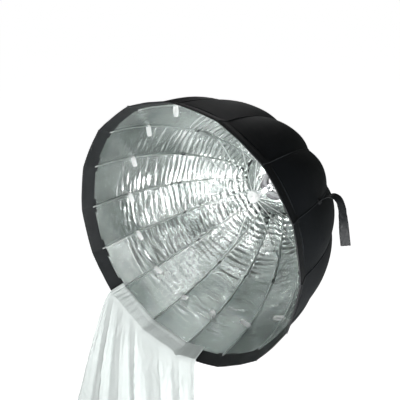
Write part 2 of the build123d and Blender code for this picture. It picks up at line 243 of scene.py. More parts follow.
def whiteCloth():
    paint = Paint("whiteCloth")
    where = paint.cloth()
    threads = weave(paint, 0.0010)
    cloudy = paint.noise(where, 12.0, 4.0)
    crease = paint.noise(paint.stretched(where, (20, 34, 1)), 1.0, 4.0)
    paint.set(Base_Color=paint.mix(cloudy, (0.50, 0.545, 0.53, 1), (0.60, 0.64, 0.63, 1)),
              Roughness=0.62 + cloudy * 0.1)
    paint.set(Sheen_Weight=0.15)
    soft = paint.bump(crease, 0.004, 0.3)
    paint.set(Normal=paint.bump(threads, 0.0002, 0.5, soft))
    return paint.material


def tapeCloth():
    paint = Paint("whiteTape")
    threads = weave(paint, 0.0007)
    worn = paint.noise(paint.cloth(), 160.0, 3.0)
    paint.set(Base_Color=paint.mix(worn, (0.90, 0.92, 0.91, 1), (0.98, 0.98, 0.98, 1)), Roughness=0.7 + worn * 0.15)
    paint.set(Normal=paint.bump(threads, 0.0003, 0.8))
    return paint.material


def metalPaint(name, colour, worn, rough, metallic, grain=260.0):
    paint = Paint(name)
    where = paint.where()
    speckle = paint.noise(where, grain, 4.0)
    broad = paint.noise(where, 22.0, 3.0)
    paint.set(Base_Color=paint.mix(broad, colour, worn), Metallic=metallic, Roughness=rough + speckle * 0.14)
    paint.set(Normal=paint.bump(speckle, 0.0002, 0.35))
    return paint.material


def ribPaint():
    # grey sprung steel, with the black ferrule where the channel meets the rod and a pale cap on the end
    paint = Paint("ribPaint")
    where = paint.where()
    x, y, z = paint.split(where)
    radius = (x * x + z * z) ** 0.5
    speckle = paint.noise(where, 300.0, 4.0)
    ferrule = radius.above(0.333) * radius.below(0.342) * y.above(-0.30)
    cap = (0 - y).above(0.6135)
    steel = paint.mix(speckle, (0.40, 0.43, 0.42, 1), (0.56, 0.60, 0.585, 1))
    dark = paint.mix(ferrule, steel, (0.012, 0.012, 0.013, 1))
    paint.set(Base_Color=paint.mix(cap, dark, (0.55, 0.57, 0.56, 1)), Metallic=0.62 - ferrule * 0.6 - cap * 0.5)
    paint.set(Roughness=0.34 + speckle * 0.16, Normal=paint.bump(speckle, 0.00015, 0.3))
    return paint.material


paints = {
    "silver": silverCloth(),
    "black": blackCloth("blackNylon", (0.0036, 0.0050, 0.0062, 1), (0.009, 0.011, 0.014, 1), 0.42),
    "binding": blackCloth("blackBinding", (0.008, 0.009, 0.010, 1), (0.020, 0.022, 0.024, 1), 0.40),
    "piping": blackCloth("blackPiping", (0.022, 0.026, 0.029, 1), (0.045, 0.052, 0.056, 1), 0.34),
    "white": whiteCloth(),
    "tape": tapeCloth(),
    "rib": ribPaint(),
    "stretcher": metalPaint("stretcherSteel", (0.62, 0.65, 0.64, 1), (0.80, 0.83, 0.82, 1), 0.3, 0.35),
    "tube": metalPaint("mastTube", (0.70, 0.71, 0.72, 1), (0.85, 0.86, 0.86, 1), 0.2, 1.0),
    "plate": metalPaint("turnedPlate", (0.50, 0.51, 0.52, 1), (0.66, 0.67, 0.68, 1), 0.3, 1.0),
    "screw": metalPaint("screwSteel", (0.50, 0.50, 0.50, 1), (0.64, 0.64, 0.63, 1), 0.3, 1.0),
    "hub": metalPaint("hubPlastic", (0.020, 0.020, 0.021, 1), (0.038, 0.038, 0.040, 1), 0.42, 0.0),
    "runner": metalPaint("runnerPlastic", (0.86, 0.89, 0.88, 1), (0.95, 0.96, 0.955, 1), 0.26, 0.0),
    "button": metalPaint("buttonPlastic", (0.80, 0.82, 0.82, 1), (0.90, 0.91, 0.91, 1), 0.25, 0.0),
}
cadPaint = {"rib": "rib", "stretcher": "stretcher", "hub_ring": "hub",
            "bayonet_plate": "plate", "plate_screws": "screw",
            "mast": "tube", "runner": "runner", "release_button": "button"}
for name, node in frame["nodes"].items():
    for start, paint in cadPaint.items():
        if name.startswith(start):
            node.data.materials.clear()
            node.data.materials.append(paints[paint])
print("materials made")


# ---- mesh helpers ----
def makeMesh(name, points, faces, uvs=None, materials=(), faceMaterials=None, smooth=True):
    mesh = bpy.data.meshes.new(name)
    mesh.from_pydata([tuple(p) for p in points], [], faces)
    if uvs is not None:
        layer = mesh.uv_layers.new(name="cloth")
        corner = np.zeros(len(mesh.loops), np.int32)
        mesh.loops.foreach_get("vertex_index", corner)
        layer.data.foreach_set("uv", np.asarray(uvs, np.float32)[corner].ravel())
    for material in materials:
        mesh.materials.append(material)
    if faceMaterials is not None:
        mesh.polygons.foreach_set("material_index", np.asarray(faceMaterials, np.int32))
    mesh.polygons.foreach_set("use_smooth", [smooth] * len(mesh.polygons))
    mesh.update()
    piece = bpy.data.objects.new(name, mesh)
    bpy.context.scene.collection.objects.link(piece)
    return piece


def outward(piece):
    # makes every face of a closed piece point out
    shape = bmesh.new()
    shape.from_mesh(piece.data)
    bmesh.ops.recalc_face_normals(shape, faces=shape.faces)
    shape.to_mesh(piece.data)
    shape.free()
    return piece


def closedSheet(name, inner, outer, uvs, materials):
    # two grids of points, rows by columns, joined round their edges; the first is the inner face
    rows, columns = inner.shape[:2]
    points = np.concatenate([inner.reshape(-1, 3), outer.reshape(-1, 3)])
    size = rows * columns
    grid = np.arange(size).reshape(rows, columns)
    a, b, c, d = grid[:-1, :-1].ravel(), grid[:-1, 1:].ravel(), grid[1:, 1:].ravel(), grid[1:, :-1].ravel()
    faces = [list(f) for f in np.stack([a, b, c, d], 1)]
    faces += [list(f) for f in np.stack([d, c, b, a], 1) + size]
    kinds = [0] * len(a) + [1] * len(a)
    edge = list(grid[0, :]) + list(grid[1:, -1]) + list(grid[-1, -2::-1]) + list(grid[-2:0:-1, 0])
    for i, first in enumerate(edge):
        second = edge[(i + 1) % len(edge)]
        faces.append([int(second), int(first), int(first) + size, int(second) + size])
        kinds.append(1)
    both = np.concatenate([uvs.reshape(-1, 2), uvs.reshape(-1, 2)])
    piece = outward(makeMesh(name, points, faces, both, materials, kinds))
    piece.data.set_sharp_from_angle(angle=math.radians(65))  # keeps the cut edges from dulling the faces beside them
    return piece


def wave(x, y, seed):
    return noise.noise(Vector((x, y, seed * 7.31)))


def smoothStep(value, low, high):
    share = min(1.0, max(0.0, (value - low) / (high - low)))
    return share * share * (3 - 2 * share)


# ---- the bowl's cloth ----
cloth = {"rootRadius": 0.101, "rowPitch": 0.0031, "halfColumns": 14, "bulge": 0.0095, "thickness": 0.0012,
         "room": 0.0062, "longFold": 0.0088, "pucker": 0.0030, "rung": 0.0052, "rungPitch": 0.0230,
         "foldRange": (-0.0085, 0.0062), "puckerRange": (-0.003, 0.0016),
         "segments": (0.0, 0.09, 0.2, 0.33, 0.48, 0.64, 0.8, 0.92, 1.0)}


def seamLine():
    # the sewn line outside a rib, root to rim: radius, ahead and the outward normal of each row
    wide = ribs["rimRadius"] + ribs["clothGap"]
    deep = ribs["bowlDepth"] + ribs["clothGap"]
    first = -math.acos(cloth["rootRadius"] / wide)
    fine = np.linspace(first, 0.0, 4000)
    radius, ahead = wide * np.cos(fine), ribs["rimAhead"] + deep * np.sin(fine)
    length = np.concatenate([[0], np.cumsum(np.hypot(np.diff(radius), np.diff(ahead)))])
    count = int(length[-1] / cloth["rowPitch"]) // 8 * 8 + 1
    angle = np.interp(np.linspace(0, length[-1], count), length, fine)
    radius, ahead = wide * np.cos(angle), ribs["rimAhead"] + deep * np.sin(angle)
    normal = np.stack([np.cos(angle) / wide, np.sin(angle) / deep], 1)
    normal /= np.linalg.norm(normal, axis=1)[:, None]
    return radius, ahead, normal, np.linspace(0, length[-1], count)


seamRadius, seamAhead, seamNormal, seamLength = seamLine()


def clothRow(number, row):
    # one row of points across the cloth of a rib, from half a panel on one side to half on the other
    radius, ahead = seamRadius[row], seamAhead[row]
    share = seamLength[row] / seamLength[-1]
    width = 2 * radius * math.sin(ribs["step"] / 2)
    inner, outer, uvs = [], [], []
    rise = smoothStep(share, 0.0, 0.25) * (1 - 0.55 * smoothStep(share, 0.75, 1.0))
    edge = 1 - smoothStep(share, 0.93, 0.98)
    foldSize = smoothStep(share, 0.12, 0.34) * (1 - 0.92 * smoothStep(share, 0.78, 0.92)) * edge
    rungSize = smoothStep(share, 0.01, 0.06) * (1 - 0.72 * smoothStep(share, 0.36, 0.62))
    rungSize *= 1 - smoothStep(share, 0.80, 0.92)
    puckerSize = smoothStep(share, 0.02, 0.1) * (1 - 0.80 * smoothStep(share, 0.84, 0.95)) * edge
    for column in range(-cloth["halfColumns"], cloth["halfColumns"] + 1):
        side = 1 if column >= 0 else -1
        v = abs(column) / (2 * cloth["halfColumns"])  # 0 on the rib, 0.5 in the middle of the panel
        panel = (number if side > 0 else number - 1) % ribs["count"]
        fromFirst = v if side > 0 else 1 - v  # across the panel, from its lower-numbered rib
        base = (1 - v) * place(number, radius, ahead) + v * place(number + side, radius, ahead)
        crown = 4 * v * (1 - v)
        along = seamLength[row]
        slant = (fromFirst - 0.5) * (0.9 * wave(along * 5, 3.0, panel) + 0.15)
        folds = (wave(along * 38 + slant * 3.4, fromFirst * 1.7, panel)
                 + 0.35 * wave(along * 88 + slant * 4, fromFirst * 2.6, panel + 20))
        phase = (along / cloth["rungPitch"] + 0.8 * wave(along * 9, fromFirst * 1.1, panel + 140)
                 + (fromFirst - 0.5) * (0.6 * wave(panel * 2.7, 8.5, 7) + 1.0 * wave(along * 5, 1.5, panel + 160)))
        rung = math.cos(2 * math.pi * phase)
        rung = 0.5 * rung + 0.5 * (1 - 2 * abs(math.sin(math.pi * phase)))
        rung *= (cloth["rung"] * rungSize * min(1.0, crown * 1.8)
                 * (0.74 + 1.0 * wave(along * 13, fromFirst * 2.1, panel + 180)))
        patchy = 0.35 + 0.65 * smoothStep(wave(along * 6.0, 0.5 + fromFirst * 1.3, panel + 40) + 0.25, 0.0, 0.5)
        near = v * width
        gather = wave(along * 92, 0.3 * side + near * 12, panel + 60 + side)
        pucker = cloth["pucker"] * puckerSize * gather * math.exp(-near / 0.026) * (1 - math.exp(-near / 0.0030))
        fold = cloth["longFold"] * foldSize * patchy * folds * crown ** 0.6
        tilt = 0.0045 * rise * crown * edge * wave(along * 2.3, fromFirst * 1.2, panel + 120)
        fold = max(cloth["foldRange"][0], min(cloth["foldRange"][1], fold + tilt - rung))
        fold += max(cloth["puckerRange"][0], min(cloth["puckerRange"][1], pucker))
        facing = seamNormal[row][0] * spoke(number + side * 0.5) - np.array([0, seamNormal[row][1], 0])
        skin = seamNormal[row][0] * spoke(number + side * v) - np.array([0, seamNormal[row][1], 0])
        lift = cloth["bulge"] * rise * crown
        inner.append(base + facing * (0.45 * lift + fold))
        sag = 0.0012 * wave(along * 9, fromFirst * 2, panel + 80) * crown
        outer.append(base + facing * (lift * 1.25 + cloth["room"] * crown * rise + sag * rise)
                     + skin * cloth["thickness"])
        uvs.append((panel * 0.3 + fromFirst * width, along))
    return inner, outer, uvs


def widthRatio(row):
    return min(1.0, max(0.06, foldedRadius(seamRadius[row], seamAhead[row]) / seamRadius[row]))


def squashTo(piece, keep):
    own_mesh(piece)


lastRow = len(seamRadius) - 1
breaks = [int(round(share * lastRow)) for share in cloth["segments"]]
for number in range(1, ribs["count"] + 1):
    body = f"rib_{number:02d}"
    rows = [clothRow(number, row) for row in range(lastRow + 1)]
    inner = np.array([row[0] for row in rows])
    outer = np.array([row[1] for row in rows])
    uvs = np.array([row[2] for row in rows])
    for index, (first, last) in enumerate(zip(breaks, breaks[1:])):
        part = slice(first, last + 1)
        piece = closedSheet(f"cover_{number:02d}_{index + 1}", inner[part], outer[part], uvs[part],
                            (paints["silver"], paints["black"]))
        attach(piece, body)
        squashTo(piece, widthRatio(first))
        if index == 0:
            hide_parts(f"cover_gore_{number:02d}")
        wide = 2 * seamRadius[last] * math.sin(ribs["step"] / 2)
        narrow = 2 * seamRadius[first] * math.sin(ribs["step"] / 2)
        long = seamLength[last] - seamLength[first]
        max(0.301 * wide * long, (wide + narrow) / 2 * long)
print("bowl cloth made")

# ---- the black lip ----
lip = {"frontRadius": 0.450, "frontAhead": 0.67107, "backAhead": 0.6135, "thickness": 0.0018, "hem": 0.0022,
       "halfColumns": 12}


def lipProfile():
    # a closed section: inner face forwards, round the hem, and back along the outer face
    backRadius = ribs["rimRadius"] + ribs["clothGap"] - 0.0016
    inner = [(backRadius, lip["backAhead"]), (backRadius + 0.0002, ribs["rimAhead"])]
    for share in np.linspace(0.15, 1.0, 9):
        inner.append((backRadius + (lip["frontRadius"] - backRadius) * share,
                      ribs["rimAhead"] + (lip["frontAhead"] - 0.002 - ribs["rimAhead"]) * share))
    centre = (lip["frontRadius"] + lip["thickness"] / 2, lip["frontAhead"] - 0.002)
    hem = [(centre[0] + lip["hem"] * math.cos(a), centre[1] + lip["hem"] * math.sin(a))
           for a in np.linspace(math.pi * 0.95, -math.pi * 0.3, 9)]
    outer = []
    for share in (0.93, 0.85, 0.82, 0.79, 0.6, 0.4, 0.2, 0.0):
        dip = 0.0008 if share == 0.82 else 0.0
        outer.append((backRadius + lip["thickness"] + 0.0021 + (lip["frontRadius"] - backRadius) * share - dip,
                      ribs["rimAhead"] + (lip["frontAhead"] - 0.004 - ribs["rimAhead"]) * share))
    outer.append((backRadius + lip["thickness"] + 0.0021, lip["backAhead"]))
    return inner + hem + outer


def sweptSection(name, number, profile, halfColumns, material, wobble=0.0):
    # a closed section carried across one rib's share of the rim, with its corner on the rib
    rings, uvs = [], []
    perimeter = np.concatenate([[0], np.cumsum([math.dist(p, q) for p, q in zip(profile, profile[1:])])])
    for column in range(-halfColumns, halfColumns + 1):
        side = 1 if column >= 0 else -1
        v = abs(column) / (2 * halfColumns)
        panel = (number if side > 0 else number - 1) % ribs["count"]
        fromFirst = v if side > 0 else 1 - v
        crown = 4 * v * (1 - v)
        ring = []
        for radius, ahead in profile:
            base = (1 - v) * place(number, radius, ahead) + v * place(number + side, radius, ahead)
            shift = wobble * crown * wave(fromFirst * 4, (ahead - 0.6) * 18, panel + 100)
            ring.append(base + spoke(number + side * 0.5) * (shift + cloth["bulge"] * 0.45 * crown))
            uvs.append((panel * 0.3 + fromFirst * 0.17, 0))
        rings.append(ring)
    count = len(profile)
    uvs = np.array(uvs)
    uvs[:, 1] = np.tile(perimeter, len(rings))
    faces = []
    for i in range(len(rings) - 1):
        for j in range(count):
            k = (j + 1) % count
            faces.append([i * count + j, i * count + k, (i + 1) * count + k, (i + 1) * count + j])
    faces.append(list(range(count)))
    faces.append([(len(rings) - 1) * count + j for j in range(count)][::-1])
    piece = outward(makeMesh(name, np.array(rings).reshape(-1, 3), faces, uvs, (material,)))
    piece.data.set_sharp_from_angle(angle=math.radians(65))
    return piece


for number in range(1, ribs["count"] + 1):
    piece = sweptSection(f"lip_{number:02d}", number, lipProfile(), lip["halfColumns"], paints["binding"], 0.0012)
    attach(piece, f"rib_{number:02d}")
    squashTo(piece, 0.04)
print("lip made")


# ---- piping and stitches, by geometry nodes ----
def newTree(name, inputs):
    tree = bpy.data.node_groups.new(name, "GeometryNodeTree")
    tree.interface.new_socket("Geometry", in_out="INPUT", socket_type="NodeSocketGeometry")
    for label, kind, value in inputs:
        socket = tree.interface.new_socket(label, in_out="INPUT", socket_type=kind)
        if value is not None:
            socket.default_value = value
    tree.interface.new_socket("Geometry", in_out="OUTPUT", socket_type="NodeSocketGeometry")
    return tree, tree.nodes.new("NodeGroupInput"), tree.nodes.new("NodeGroupOutput")


def pipingTree():
    # a round cord along a path
    tree, start, end = newTree("piping", [("Radius", "NodeSocketFloat", 0.0015),
                                          ("Sides", "NodeSocketInt", 8), ("Finish", "NodeSocketMaterial", None)])
    ring = tree.nodes.new("GeometryNodeCurvePrimitiveCircle")
    sweep = tree.nodes.new("GeometryNodeCurveToMesh")
    sweep.inputs["Fill Caps"].default_value = True
    smooth = tree.nodes.new("GeometryNodeSetShadeSmooth")
    real = tree.nodes.new("GeometryNodeRealizeInstances")
    finish = tree.nodes.new("GeometryNodeSetMaterial")
    join = tree.links.new
    join(start.outputs["Radius"], ring.inputs["Radius"])
    join(start.outputs["Sides"], ring.inputs["Resolution"])
    join(start.outputs["Geometry"], sweep.inputs["Curve"])
    join(ring.outputs["Curve"], sweep.inputs["Profile Curve"])
    join(sweep.outputs["Mesh"], smooth.inputs["Geometry"])
    join(smooth.outputs["Geometry"], real.inputs["Geometry"])
    join(real.outputs["Geometry"], finish.inputs["Geometry"])
    join(start.outputs["Finish"], finish.inputs["Material"])
    join(finish.outputs["Geometry"], end.inputs["Geometry"])
    return tree


def stitchTree():
    # short threads laid end to end along a path
    tree, start, end = newTree("stitches", [("Pitch", "NodeSocketFloat", 0.0045), ("Length", "NodeSocketFloat", 0.003),
                                            ("Thread", "NodeSocketFloat", 0.0004),
                                             ("Finish", "NodeSocketMaterial", None)])
    dots = tree.nodes.new("GeometryNodeCurveToPoints")
    dots.mode = "LENGTH"
    thread = tree.nodes.new("GeometryNodeMeshIcoSphere")
    thread.inputs["Subdivisions"].default_value = 1
    shape = tree.nodes.new("GeometryNodeTransform")
    size = tree.nodes.new("ShaderNodeCombineXYZ")
    put = tree.nodes.new("GeometryNodeInstanceOnPoints")
    real = tree.nodes.new("GeometryNodeRealizeInstances")
    finish = tree.nodes.new("GeometryNodeSetMaterial")
    halve = tree.nodes.new("ShaderNodeMath")
    halve.operation = "MULTIPLY"
    halve.inputs[1].default_value = 0.5
    thread.inputs["Radius"].default_value = 1.0
    join = tree.links.new
    join(start.outputs["Geometry"], dots.inputs["Curve"])
    join(start.outputs["Pitch"], dots.inputs["Length"])
    join(start.outputs["Length"], halve.inputs[0])
    join(halve.outputs[0], size.inputs["Z"])
    join(start.outputs["Thread"], size.inputs["X"])
    join(start.outputs["Thread"], size.inputs["Y"])
    join(size.outputs[0], shape.inputs["Scale"])
    join(thread.outputs["Mesh"], shape.inputs["Geometry"])
    join(dots.outputs["Points"], put.inputs["Points"])
    join(shape.outputs["Geometry"], put.inputs["Instance"])
    join(dots.outputs["Rotation"], put.inputs["Rotation"])
    join(put.outputs["Instances"], real.inputs["Geometry"])
    join(real.outputs["Geometry"], finish.inputs["Geometry"])
    join(start.outputs["Finish"], finish.inputs["Material"])
    join(finish.outputs["Geometry"], end.inputs["Geometry"])
    return tree


def alongPath(name, paths, tree, settings):
    # runs a tree on one or more poly paths and keeps the result as a plain mesh
    data = bpy.data.curves.new(name, "CURVE")
    data.dimensions = "3D"
    for points in paths:
        line = data.splines.new("POLY")
        line.points.add(len(points) - 1)
        line.points.foreach_set("co", np.column_stack([points, np.ones(len(points))]).ravel())
    holder = bpy.data.objects.new(name, data)
    bpy.context.scene.collection.objects.link(holder)
    modifier = holder.modifiers.new("make", "NODES")
    modifier.node_group = tree
    for item in tree.interface.items_tree:
        if item.in_out == "INPUT" and item.name in settings:
            modifier[item.identifier] = settings[item.name]
    graph = bpy.context.evaluated_depsgraph_get()
    mesh = bpy.data.meshes.new_from_object(holder.evaluated_get(graph))
    holder.modifiers.clear()
    bpy.data.objects.remove(holder)
    piece = bpy.data.objects.new(name, mesh)
    mesh.name = name
    bpy.context.scene.collection.objects.link(piece)
    return piece


piping = {"radius": 0.0014, "stand": 0.0020}
stitch = {"pitch": 0.0048, "length": 0.0034, "thread": 0.0003}
pipingNodes, stitchNodes = pipingTree(), stitchTree()
for number in range(1, ribs["count"] + 1):
    body = f"rib_{number:02d}"
    line = [place(number, seamRadius[row] + seamNormal[row][0] * piping["stand"],
                  seamAhead[row] + seamNormal[row][1] * piping["stand"])
            for row in range(0, lastRow + 1, 3)]
    line.append(place(number, lip["frontRadius"] + 0.0042, lip["frontAhead"] - 0.003))
    piece = alongPath(f"piping_{number:02d}", [np.array(line)], pipingNodes,
                      {"Radius": piping["radius"], "Finish": paints["piping"]})
    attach(piece, body)
print("piping made")


# ---- white tape loops that tie the cloth to the ribs ----
loop = {"ahead": 0.452, "width": 0.012, "thickness": 0.0006, "long": 0.042, "over": 0.0049, "halfOpen": 0.0066}
loopRow = int(np.argmin(np.abs(seamAhead - loop["ahead"])))
tapeDetail = 4


def ribbon(points, widths, sideways, thickness):
    # a flat band with a closed thickness along a path; sideways is its width direction at each point
    points, sideways = np.array(points), np.array(sideways)
    ahead = np.gradient(points, axis=0)
    ahead /= np.linalg.norm(ahead, axis=1)[:, None]
    face = np.cross(ahead, sideways)
    face /= np.linalg.norm(face, axis=1)[:, None]
    shares = np.linspace(-0.5, 0.5, tapeDetail + 1)
    inner = (points[:, None] + sideways[:, None] * (np.asarray(widths)[:, None, None] * shares[None, :, None])
             - face[:, None] * thickness / 2)
    return inner, inner + face[:, None] * thickness


def bandUvs(points, width):
    length = np.concatenate([[0], np.cumsum(np.linalg.norm(np.diff(points, axis=0), axis=1))])
    u = np.linspace(0, width, tapeDetail + 1)
    return np.stack(np.meshgrid(u, length), 2)


for number in range(1, ribs["count"] + 1):
    normal = seamNormal[loopRow][0] * spoke(number) - np.array([0, seamNormal[loopRow][1], 0])
    side = across(number)
    along = np.cross(side, normal)
    along *= -1 if along[1] > 0 else 1  # towards the mouth
    centre = place(number, seamRadius[loopRow], seamAhead[loopRow]) - normal * ribs["clothGap"]
    lean = wave(number * 1.7, 3.1, 200)
    hangs = np.array([0.12 * lean, 0, -1.0]) - normal * 0.75
    hangs -= along * float(np.dot(hangs, along))
    hangs -= normal * max(0.0, float(np.dot(hangs, normal)) + 0.35)
    hangs /= np.linalg.norm(hangs)
    beside = np.cross(along, hangs)
    long = loop["long"] * (1 + 0.12 * lean)
    path, twisted = [], []
    for a in np.linspace(0.02, 1.98, 57) * math.pi:
        reach = (long / 2) * (1 - math.cos(a)) - loop["over"]
        half = loop["halfOpen"] * abs(math.sin(a)) ** 0.6 * (1 if a < math.pi else -1)
        sway = 0.004 * lean * (reach / long) ** 2
        path.append(centre + hangs * reach + beside * (half + sway))
        turn = 0.35 * lean * max(0.0, reach / long)
        twisted.append(along * math.cos(turn) + beside * math.sin(turn))
    band = ribbon(path, [loop["width"]] * len(path), twisted, loop["thickness"])
    piece = closedSheet(f"tape_{number:02d}", band[0], band[1], bandUvs(np.array(path), loop["width"]),
                        (paints["tape"], paints["tape"]))
    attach(piece, f"rib_{number:02d}")
print("tapes made")

# ---- silver skirt inside and black cuff outside, both gathered on elastic ----
skirt = {"inner": (0.0640, 0.0275), "outer": (0.1225, 0.0395), "columns": 48, "rows": 14,
         "ruffle": 0.0030, "ruffles": 56}
cuff = {"inner": (0.0928, 0.0134), "outer": (0.1120, 0.0180), "columns": 36, "rows": 8,
        "ruffle": 0.0011, "ruffles": 72}


def ruffledRing(name, number, plan, materials, bowed):
    inner, outer, uvs = [], [], []
    for row in range(plan["rows"] + 1):
        share = row / plan["rows"]
        radius = plan["inner"][0] + (plan["outer"][0] - plan["inner"][0]) * share
        ahead = plan["inner"][1] + (plan["outer"][1] - plan["inner"][1]) * share + bowed * math.sin(share * math.pi)
        low, high, marks = [], [], []
        for column in range(plan["columns"] + 1):
            where = number - 0.5 + column / plan["columns"]
            turn = (where - 1) * ribs["step"]
            seed = math.cos(turn) * 3, math.sin(turn) * 3
            lift = (math.sin(turn * plan["ruffles"] + 1.6 * wave(seed[0], seed[1], 9))
                    + 0.35 * wave(seed[0] * 9, seed[1] * 9, 31 + share))
            lift *= plan["ruffle"] * (0.25 + 0.9 * share ** 1.4)
            low.append(place(where, radius, ahead + lift))
            high.append(place(where, radius + 0.0002, ahead + lift - 0.0008))
            marks.append((turn * 0.1, radius))
        inner.append(low)
        outer.append(high)
        uvs.append(marks)
    return closedSheet(name, np.array(inner), np.array(outer), np.array(uvs), materials)


for number in range(1, ribs["count"] + 1):
    body = f"rib_{number:02d}"
    piece = ruffledRing(f"skirt_{number:02d}", number, skirt, (paints["silver"], paints["silver"]), 0.003)
    tuple(place(number, 0.080, 0.028))
    tuple(place(number, 0.121, 0.038))
    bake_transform(piece)
    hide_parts("light_skirt")
    piece = ruffledRing(f"cuff_{number:02d}", number, cuff, (paints["black"], paints["black"]), -0.001)
    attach(piece, "hub")
print("skirt and cuff made")

# ---- closure strap, with its sewn patch ----
strap = {"rib": 14, "ahead": 0.45207, "width": 0.030, "thickness": 0.0016,
         "route": ((0.0, 0.0, 0.0), (0.018, -0.002, 0.020), (0.042, 0.002, 0.028), (0.064, 0.004, 0.008),
                   (0.074, 0.004, -0.040), (0.079, 0.010, -0.085), (0.085, 0.018, -0.132)),
         "twist": (0, 5, 14, 24, 40, 60, 66)}


def smoothRoute(points, count):
    # points along a NURBS line through the given control points
    data = bpy.data.curves.new("route", "CURVE")
    data.dimensions = "3D"
    line = data.splines.new("NURBS")
    line.points.add(len(points) - 1)
    for point, spot in zip(line.points, points):
        point.co = (*spot, 1)
    line.order_u = 3
    line.use_endpoint_u = True
    line.resolution_u = 24
    holder = bpy.data.objects.new("route", data)
    bpy.context.scene.collection.objects.link(holder)
    mesh = bpy.data.meshes.new_from_object(holder)
    dense = np.array([v.co for v in mesh.vertices])
    bpy.data.objects.remove(holder)
    length = np.concatenate([[0], np.cumsum(np.linalg.norm(np.diff(dense, axis=0), axis=1))])
    marks = np.linspace(0, length[-1], count)
    return np.stack([np.interp(marks, length, dense[:, k]) for k in range(3)], 1), length[-1]


strapRow = int(np.argmin(np.abs(seamAhead - strap["ahead"])))
strapRoot = place(strap["rib"], seamRadius[strapRow] + 0.0050, seamAhead[strapRow])
route, strapLength = smoothRoute([strapRoot + np.array(p) for p in strap["route"]], 90)
sideways = []
for index, spot in enumerate(route):
    share = index / (len(route) - 1)
    turn = math.radians(np.interp(share, np.linspace(0, 1, len(strap["twist"])), strap["twist"]))
    tangent = route[min(index + 1, len(route) - 1)] - route[max(index - 1, 0)]
    tangent /= np.linalg.norm(tangent)
    flat = np.array([0.0, 1.0, 0.0]) - tangent * tangent[1]
    flat /= np.linalg.norm(flat)
    other = np.cross(tangent, flat)
    sideways.append(flat * math.cos(turn) + other * math.sin(turn))
tapeDetail = 10
band = ribbon(route, [strap["width"]] * len(route), sideways, strap["thickness"])
faceOut = np.cross(np.gradient(route, axis=0), np.array(sideways))
faceOut /= np.linalg.norm(faceOut, axis=1)[:, None]
crumple = np.array([[0.0022 * wave(i * 0.16, j * 0.42, 300) + 0.0010 * wave(i * 0.5, j * 0.8, 310)
                     for j in range(tapeDetail + 1)] for i in range(len(route))])
crumple *= np.linspace(0, 1, len(route))[:, None] ** 0.3
shifted = [layer + faceOut[:, None] * crumple[:, :, None] for layer in band]
piece = closedSheet("closure_strap_cloth", shifted[0], shifted[1], bandUvs(route, strap["width"]),
                    (paints["binding"], paints["binding"]))
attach(piece, "rib_14")
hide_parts("closure_strap")
strapEdges = [np.array([layer[:, column] for layer in shifted]) for column in (1, -2)]
paths = [edge[1] + faceOut * 0.0003 for edge in strapEdges] + [edge[0] - faceOut * 0.0003 for edge in strapEdges]
piece = alongPath("strap_stitches", paths, stitchNodes,
                  {"Pitch": stitch["pitch"], "Length": stitch["length"],
                   "Thread": stitch["thread"], "Finish": paints["black"]})
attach(piece, "rib_14")

patch = {"long": 0.027, "wide": 0.024, "thickness": 0.0022}
spots, outsideSpots, marks = [], [], []
for i in range(9):
    row = int(strapRow + (i / 8 - 0.5) * patch["long"] / cloth["rowPitch"])
    low, high, mark = [], [], []
    for j in range(9):
        v = (j / 8 - 0.5) * patch["wide"] / (2 * seamRadius[row] * math.sin(ribs["step"] / 2))
        side = 1 if v >= 0 else -1
        base = ((1 - abs(v)) * place(14, seamRadius[row], seamAhead[row])
                + abs(v) * place(14 + side, seamRadius[row], seamAhead[row]))
        skin = seamNormal[row][0] * spoke(14 + v) - np.array([0, seamNormal[row][1], 0])
        puff = 0.0010 * (1 - (2 * i / 8 - 1) ** 4) * (1 - (2 * j / 8 - 1) ** 4)
        low.append(base + skin * 0.0022)
        high.append(base + skin * (0.0022 + patch["thickness"] + puff + 0.0016 * math.exp(-abs(v) * 60)))
        mark.append((j * patch["wide"] / 8, i * patch["long"] / 8))
    spots.append(low)
    outsideSpots.append(high)
    marks.append(mark)
piece = closedSheet("strap_patch", np.array(spots), np.array(outsideSpots), np.array(marks),
                    (paints["binding"], paints["binding"]))
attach(piece, "rib_14")
print("strap made", round(strapLength, 3))

# ---- front cloth, peeled off the mouth and hanging from the lip ----
front = {"from": 6.92, "to": 9.5, "radius": 0.447, "columns": 220, "lipRows": 14, "rows": 150,
         "low": -1.165, "left": -0.572, "right": 0.078, "folds": 5.5, "depth": 0.027, "fan": 1.5,
         "tuckRadius": 0.4300, "tuckBehind": 0.002,  # where the edge is tucked in behind the lip
         "inside": 0.0030, "clear": 0.0040,  # where it turns over the lip, in from its edge and ahead of it
         "stand": 0.0085, "settle": 0.035, "thickness": 0.0008, "hem": 0.0011, "keep": 0.12}


def rimPoint(number, radius, ahead):
    low = math.floor(number)
    v = number - low
    return (1 - v) * place(low, radius, ahead) + v * place(low + 1, radius, ahead)


